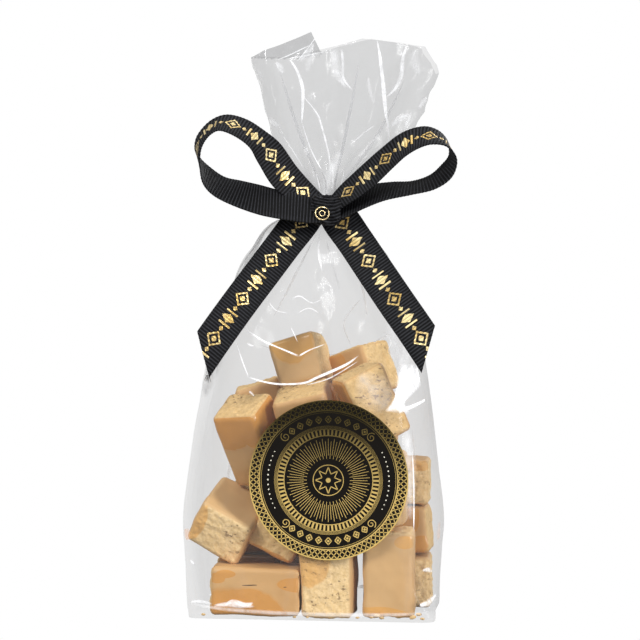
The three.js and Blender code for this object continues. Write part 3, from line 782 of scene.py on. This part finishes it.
def goldOn(along, across):
    # 1 where the print is gold: a framed lozenge, filled ones and bars, over and over.
    pitch = ribbon["printPitch"]
    reach = mathNode("ABSOLUTE", across)

    def away(share):
        cell = mathNode("WRAP", mathNode("ADD", along, pitch * share), pitch, 0.0)
        return mathNode("ABSOLUTE", mathNode("SUBTRACT", cell, pitch / 2))

    def lozenge(share, long, wide):
        return mathNode("ADD", mathNode("DIVIDE", away(share), long), mathNode("DIVIDE", reach, wide))

    long, wide, hollow = ribbon["frame"]
    outer = lozenge(0, long, wide)
    shapes = [times(mathNode("LESS_THAN", outer, 1), mathNode("GREATER_THAN", outer, hollow))]
    shapes += [mathNode("LESS_THAN", lozenge(*sizes), 1) for sizes in ribbon["lozenges"]]
    share, long, wide = ribbon["bars"]
    within = mathNode("LESS_THAN", reach, wide)
    shapes += [times(mathNode("LESS_THAN", away(side), long), within) for side in (share, -share)]
    gold = shapes[0]
    for shape in shapes[1:]:
        gold = mathNode("MAXIMUM", gold, shape)
    return gold


def ribbonMaterial(printed):
    material, nodes, shader = newMaterial("grosgrainPrinted" if printed else "grosgrain")
    along, across, _ = lieParts(nodes)
    wave = mathNode("COSINE", times(along, 2 * math.pi / ribbon["ribPitch"]))
    wave = mathNode("MULTIPLY_ADD", wave, -0.5, 0.5)
    fine = noiseNode(nodes, 1500, 2, 0.6)
    # The rib crests are painted lighter and the hollows between them near black: a painted highlight and
    # painted shade over the real ribs.
    paintedRibLight = times(mathNode("POWER", wave, 3.0), ramp(fine, 0.25, 0.7, 0.6, 1.0))
    colour = mixColour(paintedRibLight, (0.001, 0.001, 0.0013), (0.032, 0.033, 0.038))
    feed(shader, Specular_IOR_Level=0.12, Base_Color=colour, Roughness=0.6,
         Normal=bumpNode(fine, 0.5, 0.0002))
    if printed:
        gold = times(goldOn(along, across), ramp(wave, 0.02, 0.2, 0.3, 1.0))
        shade = ramp(noiseNode(nodes, 110, 2), 0.35, 0.65)
        foil = mixColour(shade, (0.62, 0.42, 0.14), (0.98, 0.80, 0.42))
        feed(shader, Base_Color=mixColour(gold, colour, foil), Metallic=times(gold, 0.6),
             Roughness=ramp(gold, 0, 1, 0.6, 0.3))
    return material


def ribHeight(along, across):
    phase = 2 * math.pi * along / ribbon["ribPitch"]
    reach = abs(across)
    if reach < ribbon["selvedge"]:
        return ribbon["ribHeight"] * (abs(math.sin(phase / 2)) - 0.5)
    column = math.floor((reach - ribbon["selvedge"]) / ribbon["weave"])
    return 0.35 * ribbon["ribHeight"] * math.sin(phase + column * math.pi) - 0.02


def makeRibbon(name, stations, outer, materials, node, cut=None):
    # Stations at equal steps of true length, so that the ribs stand evenly. The printed side is
    # to the left of the way along where outer is 1, and to the right where it is -1.
    fine = 400
    rows = [smoothRow(stations, n / fine) for n in range(fine + 1)]
    lengths = [0]
    for a, b in zip(rows, rows[1:]):
        lengths.append(lengths[-1] + (Vector(b[:3]) - Vector(a[:3])).length)
    total = lengths[-1]
    count = round(total / ribbon["ribPitch"]) * ribbon["rowsPerRib"]

    def stationAt(length):
        place = next((n for n, v in enumerate(lengths) if v >= length), fine)
        place = max(place, 1)
        part = (length - lengths[place - 1]) / max(lengths[place] - lengths[place - 1], 1e-6)
        share = (place - 1 + min(max(part, 0), 1)) / fine
        return smoothRow(stations, share)

    line = [stationAt(total * n / count) for n in range(count + 1)]
    bm = bmesh.new()
    lie = bm.loops.layers.uv.new("lie")
    places = {}
    for vert, across, along in addSheet(bm, ribbon["across"], count):
        n = round(along * count)
        here, half = Vector(line[n][:3]), Vector(line[n][3:])
        ahead = Vector(line[min(n + 1, count)][:3]) - Vector(line[max(n - 1, 0)][:3])
        out = ahead.cross(half).normalized() * outer
        places[vert] = (total * along, across * half.length)
        vert.co = here + half * across + out * ribHeight(total * along, across)
    layOut(bm.faces, lie, places.get)
    if outer > 0:
        bmesh.ops.reverse_faces(bm, faces=bm.faces)
    if cut:
        middle, half = Vector(cut[0]), Vector(cut[1])
        ahead = Vector(line[-1][:3]) - Vector(line[-2][:3])
        out = ahead.cross(Vector(line[-1][3:]))
        plane = half.cross(out).normalized()
        if plane.dot(ahead) < 0:
            plane.negate()
        bmesh.ops.bisect_plane(bm, geom=bm.verts[:] + bm.edges[:] + bm.faces[:], plane_co=middle,
                               plane_no=plane, clear_outer=True)
    piece = addPiece(name, bm, materials, outwards=False)
    addWall(piece, ribbon["thickness"]).material_offset = 1
    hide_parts(node)


knot = {"width": 12.6, "depth": 5.4, "height": 10.2, "middle": (5.6, -12.6, 133.8), "cuts": 56,
        "boxiness": 2.8, "ribHeight": 0.1, "crumple": 1.5}
knotRing = {"middle": (4.8, -15.6, 133.1), "radius": 2.25, "width": 0.42, "turn": 12}
# Lean in degrees, length and shift of each loose thread.
threads = {"tip": (-31.2, -26.9, 80.2),
           "lies": [(14, 2.2, -0.5), (-8, 2.6, -0.2), (5, 1.9, 0.1), (-22, 2.3, 0.5), (30, 1.7, -0.9)]}
wrap = {"radius": 6.9, "bottom": 133.2, "height": 5.9, "middle": 3.9, "turns": 240, "rows": 26,
        "ribs": 42, "ribHeight": 0.08, "thickness": 0.4}


def knotLie(place):
    # Along the ribbon where it is drawn over the knot, whose ribs bend.
    return place.z + 0.9 * math.sin(place.x * 0.42 + 0.8) + 0.5 * noise.noise(place / 4)


def makeKnot(material):
    bm = bmesh.new()
    lie = bm.loops.layers.uv.new("lie")
    addBlock(bm, knot["cuts"])
    half = Vector((knot["width"], knot["depth"], knot["height"])) / 2
    for vert in bm.verts:
        outward = vert.co.normalized()
        swell = sum(abs(share) ** knot["boxiness"] for share in outward) ** (-1 / knot["boxiness"])
        place = Vector([reach * share * swell for reach, share in zip(half, outward)])
        place.x *= 1 - 0.14 * math.cos(outward.z * swell * math.pi / 2)
        crumple = abs(noise.noise(place / 3.4 + Vector((4, 1, 7)))) + 0.4 * noise.noise(place / 1.3)
        rib = knot["ribHeight"] * math.cos(2 * math.pi * knotLie(place) / ribbon["ribPitch"])
        vert.co = place + outward * (0.1 + rib - knot["crumple"] * crumple)
        if outward.z > 0.4:
            vert.co.z += 0.5 * math.sin(place.x * 1.9 + 0.6)
    layOut(bm.faces, lie, lambda vert: (knotLie(vert.co), vert.co.x))
    bmesh.ops.translate(bm, vec=Vector(knot["middle"]), verts=bm.verts)
    piece = addPiece("ribbon_middle_knot", bm, [material])
    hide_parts("ribbon_knot")


def makeThreads(material):
    # The left tail's point has frayed a little.
    bm = bmesh.new()
    for lean, long, shift in threads["lies"]:
        place = Matrix.Translation(Vector(threads["tip"]) + Vector((shift, 0, -long / 2)))
        bmesh.ops.create_cone(bm, cap_ends=True, segments=6, radius1=0.05, radius2=0.11, depth=long,
                              matrix=place @ Matrix.Rotation(math.radians(lean), 4, "Y"))
    addPiece("tail_threads", bm, [material])


def makeKnotRing(material):
    # A plain ring of foil on the knot, and a smaller one within it.
    bm = bmesh.new()
    radius, width = knotRing["radius"], knotRing["width"]
    for shift, reach, thick in ((0.0, radius, width), (0.1, radius * 0.42, width * 0.7)):
        section = bmesh.ops.create_circle(bm, cap_ends=True, segments=8, radius=thick / 2,
                                          matrix=Matrix.Translation((reach, 0, 0)))["verts"]
        spinFace(bm, section[0].link_faces[0], 40)
        bmesh.ops.translate(bm, vec=Vector((shift, 0, -shift)), verts=bm.verts)
    turned = Euler((math.radians(-knotRing["turn"]), math.radians(25), 0)).to_matrix().to_4x4()
    place = Matrix.Translation(knotRing["middle"]) @ turned @ Matrix.Diagonal((1, 0.5, 0.92, 1))
    bmesh.ops.transform(bm, matrix=place, verts=bm.verts)
    addPiece("ribbon_knot_ring", bm, [material])


def makeWrap(material):
    bm = bmesh.new()
    lie = bm.loops.layers.uv.new("lie")
    for vert, across, share in addSheet(bm, wrap["turns"], wrap["rows"]):
        turn = (across + 1) * math.pi
        fold = 0.3 * math.sin(share * 14 + 0.6 * math.sin(2 * turn))
        rib = wrap["ribHeight"] * math.sin(wrap["ribs"] * turn)
        radius = wrap["radius"] + fold + rib - 0.5 * (2 * share - 1) ** 4
        vert.co = Vector((wrap["middle"] + radius * math.cos(turn), radius * math.sin(turn),
                          wrap["bottom"] + wrap["height"] * share))
    layOut(bm.faces, lie, lambda vert: (
        wrap["radius"] * math.atan2(vert.co.y, vert.co.x - wrap["middle"]), vert.co.z))
    bmesh.ops.remove_doubles(bm, verts=bm.verts, dist=0.001)
    piece = addPiece("ribbon_neck_wrap", bm, [material])
    addWall(piece, wrap["thickness"])
    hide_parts("ribbon_wrap")


# The round foil seal on the front.

seal = {
    "radius": 26.1, "middle": (8.1, 46.2), "back": -25.4, "thickness": 0.5, "relief": 0.08, "sunk": 0.05,
    "lattice": 84, "flutes": 76, "rays": 84, "dots": 13, "steps": 128,
    "lozengeStep": 9.2, "lozengeReach": (0.045, 3), "dotStep": 4.6,
    "band": 0.76,            # the middle of the dark band, as a share of the radius
    # From and to, as shares of the radius, for each plain ring.
    "rings": [(0.984, 1.0), (0.862, 0.876), (0.842, 0.847), (0.676, 0.68), (0.664, 0.668),
              (0.652, 0.656), (0.636, 0.644), (0.552, 0.562), (0.185, 0.195)],
}


def printMaterial():
    material, _, shader = newMaterial("goldPrint")
    feed(shader, Base_Color=(0.93, 0.74, 0.40), Metallic=0.8, Roughness=0.25)
    return material


def foilMaterial():
    # The gold is painted dark at the top of the seal and bright below its middle: a painted reflection.
    material, nodes, shader = newMaterial("goldFoilPaintedReflection")
    height = addNode(nodes, "SeparateXYZ", Vector=objectPlace(nodes)).outputs[2]
    height = ramp(height, (seal["middle"][1] + 22) * mm, (seal["middle"][1] - 8) * mm)
    feed(shader, Base_Color=mixColour(height, (0.07, 0.052, 0.014), (1.0, 0.71, 0.23)),
         Metallic=0.7, Roughness=ramp(noiseNode(nodes, 400, 2), 0.3, 0.7, 0.24, 0.36))
    return material


def sealMaterial():
    material, nodes, shader = newMaterial("sealBlack")
    shade = noiseNode(nodes, 60, 2)
    feed(shader, Base_Color=mixColour(shade, (0.003, 0.0022, 0.0014), (0.007, 0.005, 0.003)),
         Roughness=ramp(shade, 0.3, 0.7, 0.2, 0.3), Specular_IOR_Level=0.2)
    return material


def inkMaterial():
    material, nodes, shader = newMaterial("paleInk")
    ink = mixColour(noiseNode(nodes, 300, 2), (0.70, 0.66, 0.50), (0.85, 0.82, 0.70))
    feed(shader, Base_Color=ink, Roughness=0.4)
    return material


def onSeal(share, angle):
    # A place at a share of the seal's radius, at degrees from its right.
    turn = math.radians(angle)
    return Vector((math.cos(turn), 0, math.sin(turn))) * share * seal["radius"]


def sealLevels():
    # The print starts a little within the disc.
    top = seal["thickness"]
    return top - seal["sunk"], top + seal["relief"]


def sealRing(bm, inner, outer):
    low, high = sealLevels()
    corners = [(inner, low), (outer, low), (outer, high), (inner, high)]
    verts = [bm.verts.new((share * seal["radius"], -level, 0)) for share, level in corners]
    spinFace(bm, bm.faces.new(verts), seal["steps"])


def sealBar(bm, start, end, width, drop=0.0):
    low, high = sealLevels()
    high -= drop
    ahead = end - start
    place = Matrix.Translation((start + end) / 2 + front * (low + high) / 2)
    place = place @ Matrix.Rotation(-math.atan2(ahead.z, ahead.x), 4, "Y")
    place = place @ Matrix.Diagonal((ahead.length, high - low, width, 1))
    bmesh.ops.create_cube(bm, size=1, matrix=place)


def sealBars(bm, count, inner, outer, width, lean=0.0, first=0.0, drop=0.0):
    # Bars all the way round. Their lean and the first one's place are shares of a step.
    step = 360 / count
    for n in range(count):
        angle = (n + first) * step
        sealBar(bm, onSeal(inner, angle), onSeal(outer, angle + lean * step), width, drop)


def sealDot(bm, share, angle, radius, sides=10):
    low, high = sealLevels()
    place = Matrix.Translation(onSeal(share, angle) + front * (low + high) / 2)
    bmesh.ops.create_cone(bm, cap_ends=True, segments=sides, radius1=radius, radius2=radius,
                          depth=high - low, matrix=place @ Matrix.Rotation(math.pi / 2, 4, "X"))


def sealScroll(bm, centre, steps=20):
    middle = onSeal(seal["band"], centre)
    for n in range(steps):
        start, end = (middle + onSeal(0.062 * (1 - k / steps * 0.85), k * 27 + centre) for k in (n, n + 1))
        sealBar(bm, start, end, 0.28)


def makeSeal(black, gold, ink):
    radius, top, band = seal["radius"] * 0.998, seal["thickness"], seal["band"]
    place = Vector((seal["middle"][0], seal["back"], seal["middle"][1]))
    bm = bmesh.new()
    bmesh.ops.create_cone(bm, cap_ends=True, segments=seal["steps"], radius1=radius, radius2=radius,
                          depth=top, matrix=Matrix.Rotation(math.pi / 2, 4, "X"))
    bmesh.ops.translate(bm, vec=front * top / 2 + place, verts=bm.verts)
    disc = addPiece("seal_disc", bm, [black], smooth=False)
    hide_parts("foil_seal")

    bm = bmesh.new()
    for inner, outer in seal["rings"]:
        sealRing(bm, inner, outer)
    for lean in (-1.5, 1.5):
        sealBars(bm, seal["lattice"], 0.87, 0.988, 0.3, lean, drop=0.02)
    sealBars(bm, seal["flutes"], 0.56, 0.64, 0.62)
    for inner, outer, first in ((0.27, 0.49, 0.0), (0.31, 0.52, 0.5)):
        sealBars(bm, seal["rays"] // 2, inner, outer, 0.17, first=first)
    # An eight-pointed star within a ring stands in the middle.
    for lean in (-0.5, 0.5):
        sealBars(bm, 8, 0.165, 0.085, 0.3, lean)
    sealDot(bm, 0, 0, 0.8, 20)
    # Lozenges and points along the dark band, above and below, between scrolls.
    high, wide = seal["lozengeReach"]
    for n in range(-4, 5):
        for angle in (90 + n * seal["lozengeStep"], 270 + n * seal["lozengeStep"]):
            for side in (-wide, wide):
                for end in (band - high, band + high):
                    sealBar(bm, onSeal(end, angle), onSeal(band, angle + side), 0.34)
            sealDot(bm, band, angle, 0.4)
    for centre in (45, 135, 225, 315):
        sealScroll(bm, centre)
    bmesh.ops.translate(bm, vec=place, verts=bm.verts)
    addPiece("seal_foil", bm, [gold], smooth=False)

    bm = bmesh.new()
    for n in range(seal["dots"]):
        size = 0.16 + 0.1 * math.sin(math.pi * (n + 1) / (seal["dots"] + 1))
        for centre in (0, 180):
            sealDot(bm, band, centre + (n - (seal["dots"] - 1) / 2) * seal["dotStep"], size)
    bmesh.ops.translate(bm, vec=place, verts=bm.verts)
    addPiece("seal_points", bm, [ink], smooth=False)


makeFilm(filmMaterial())
makeGleams(gleamMaterial())
print("film made")
fudgeFinish = fudgeMaterial()
for order, settings in enumerate(fudgePieces):
    makeFudge(*settings, fudgeFinish, order)
makeCrumbs(fudgeFinish)
print("fudge made")
plain, printed = ribbonMaterial(False), ribbonMaterial(True)
makeRibbon("bow_left", leftLoop, 1, [printed, plain], "ribbon_loop_left")
makeRibbon("bow_right", rightLoop, -1, [printed, plain], "ribbon_loop_right")
makeRibbon("tail_left", leftTail, 1, [printed, plain], "ribbon_tail_left", tailCuts["left"])
makeRibbon("tail_right", rightTail, -1, [printed, plain], "ribbon_tail_right", tailCuts["right"])
makeKnot(plain)
makeKnotRing(printMaterial())
makeThreads(plain)
makeWrap(plain)
print("ribbon made")
makeSeal(sealMaterial(), foilMaterial(), inkMaterial())
print("seal made")


# Stage, lights and camera, in metres.

stage = {"floorSize": 20.0, "floorHeight": -0.0004, "floorColour": (0.36, 0.36, 0.36)}
# Name, place, aim, width, height, power.
lamps = [
    ("key", (-0.75, -1.0, 0.95), (0, 0, 0.09), 0.5, 0.5, 16),
    ("fill", (1.1, -0.8, 0.45), (0, 0, 0.08), 0.35, 0.7, 16),
    ("top", (0.0, 0.1, 1.3), (0, 0, 0.1), 0.9, 0.9, 6),
    ("back", (0.5, 0.9, 0.6), (0, 0, 0.12), 0.3, 0.8, 4),
]
view = {"turn": 7, "lift": 2, "distance": 0.8, "aim": (0.0022, 0, 0.0974), "halfWidth": 0.1073,
        "sensor": 36}


def makeStage():
    bm = bmesh.new()
    bmesh.ops.create_grid(bm, x_segments=1, y_segments=1, size=stage["floorSize"] / 2)
    bmesh.ops.translate(bm, vec=Vector((0, 0, stage["floorHeight"])), verts=bm.verts)
    material, nodes, shader = newMaterial("paleFloor")
    # White to the camera, and grey to the light in the room.
    seen = addNode(nodes, "LightPath").outputs["Is Camera Ray"]
    feed(shader, Base_Color=mixColour(seen, stage["floorColour"], (0.0, 0.0, 0.0)), Roughness=1.0,
         Specular_IOR_Level=0.0, Emission_Color=(1.0, 1.0, 1.0), Emission_Strength=seen)
    floor = addMesh("floor", bm, [material])


def makeLamp(name, place, aim, width, height, power):
    lamp = bpy.data.lights.new(name, "AREA")
    lamp.shape = "RECTANGLE"
    lamp.size, lamp.size_y = width, height
    lamp.energy = power
    item = addObject(name, lamp)
    item.location = place
    item.rotation_euler = (Vector(aim) - Vector(place)).to_track_quat("-Z", "Y").to_euler()


def makeWorld():
    world = bpy.data.worlds.new("studio")
    bpy.context.scene.world = world
    world.use_nodes = True
    nodes = world.node_tree.nodes
    seen = addNode(nodes, "LightPath").outputs["Is Camera Ray"]
    feed(nodes["Background"], Color=mixColour(seen, (0.30, 0.30, 0.305), (1.0, 1.0, 1.0)))


def makeCamera():
    turn, lift = math.radians(view["turn"]), math.radians(view["lift"])
    ahead = Vector((-math.sin(turn) * math.cos(lift), math.cos(turn) * math.cos(lift), -math.sin(lift)))
    camera = bpy.data.cameras.new("camera")
    camera.sensor_width = view["sensor"]
    camera.lens = view["sensor"] / 2 * view["distance"] / view["halfWidth"]
    item = addObject("camera", camera)
    item.location = Vector(view["aim"]) - ahead * view["distance"]
    item.rotation_euler = ahead.to_track_quat("-Z", "Y").to_euler()
    bpy.context.scene.camera = item


makeStage()
for lamp in lamps:
    makeLamp(*lamp)
makeWorld()
makeCamera()
bpy.context.scene.view_settings.view_transform = "Standard"
print("stage made")
